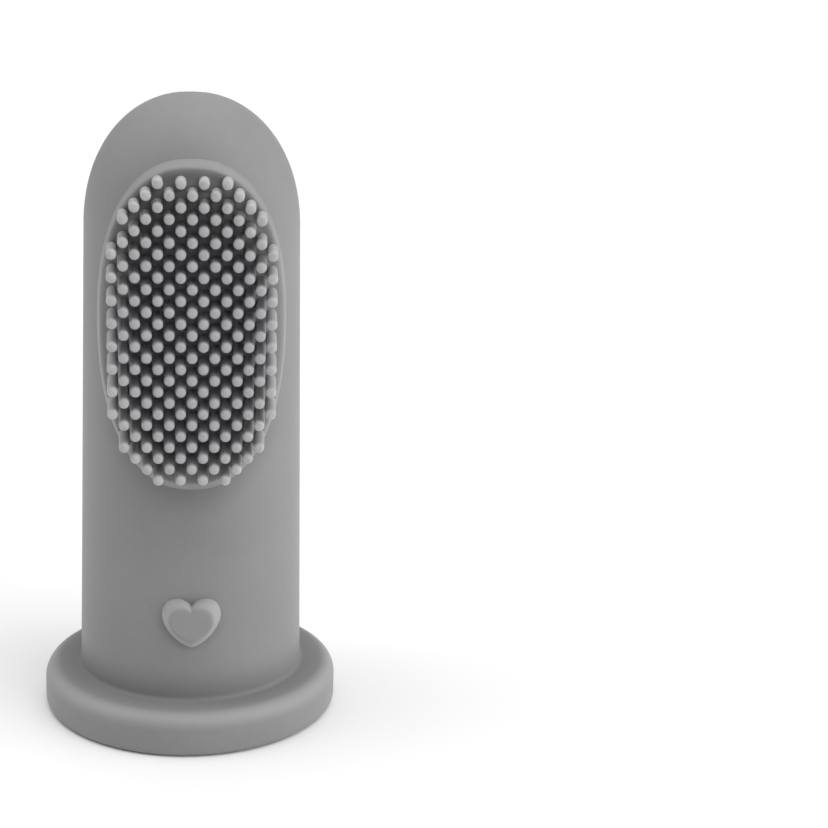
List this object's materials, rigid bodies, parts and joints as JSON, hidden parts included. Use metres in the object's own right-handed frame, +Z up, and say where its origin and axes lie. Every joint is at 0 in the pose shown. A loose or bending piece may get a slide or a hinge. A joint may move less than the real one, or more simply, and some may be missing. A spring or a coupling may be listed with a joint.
{
  "type": "finger toothbrush",
  "caption": "Soft silicone thimble brush worn on a fingertip, with a rimmed oval pad of round bristles in front, rounded massage nubs behind and a wide foot flange to stand on.",
  "frame": {"origin": "middle of the foot flange's underside, on the axis of the finger bore", "axes": "+Z up the finger towards the domed tip, -Y out through the bristles, +X to the right as the bristles are looked at"},
  "size_m": [0.026, 0.026, 0.0534],
  "materials": {
    "sleeve_silicone": "matte mid-grey moulded silicone with a very fine sparked grain",
    "bristle_silicone": "satin light-grey moulded silicone, slightly translucent"
  },
  "bodies": {
    "root": {"finger_sleeve": "sleeve_silicone", "base_flange": "sleeve_silicone", "pad_rim": "sleeve_silicone", "heart_emblem": "sleeve_silicone", "bristle_row_01": "bristle_silicone", "bristle_row_02": "bristle_silicone", "bristle_row_03": "bristle_silicone", "bristle_row_04": "bristle_silicone", "bristle_row_05": "bristle_silicone", "bristle_row_06": "bristle_silicone", "bristle_row_07": "bristle_silicone", "bristle_row_08": "bristle_silicone", "bristle_row_09": "bristle_silicone", "bristle_row_10": "bristle_silicone", "bristle_row_11": "bristle_silicone", "bristle_row_12": "bristle_silicone", "bristle_row_13": "bristle_silicone", "bristle_row_14": "bristle_silicone", "bristle_row_15": "bristle_silicone", "bristle_row_16": "bristle_silicone", "bristle_row_17": "bristle_silicone", "bristle_row_18": "bristle_silicone", "bristle_row_19": "bristle_silicone", "bristle_row_20": "bristle_silicone", "bristle_row_21": "bristle_silicone", "bristle_row_22": "bristle_silicone", "bristle_row_23": "bristle_silicone", "bristle_row_24": "bristle_silicone", "bristle_row_25": "bristle_silicone", "bristle_row_26": "bristle_silicone", "bristle_row_27": "bristle_silicone", "massage_nub_01": "bristle_silicone", "massage_nub_02": "bristle_silicone", "massage_nub_03": "bristle_silicone", "massage_nub_04": "bristle_silicone", "massage_nub_05": "bristle_silicone", "massage_nub_06": "bristle_silicone", "massage_nub_07": "bristle_silicone", "massage_nub_08": "bristle_silicone", "massage_nub_09": "bristle_silicone", "massage_nub_10": "bristle_silicone", "massage_nub_11": "bristle_silicone", "massage_nub_12": "bristle_silicone", "massage_nub_13": "bristle_silicone"}
  },
  "joints": []
}
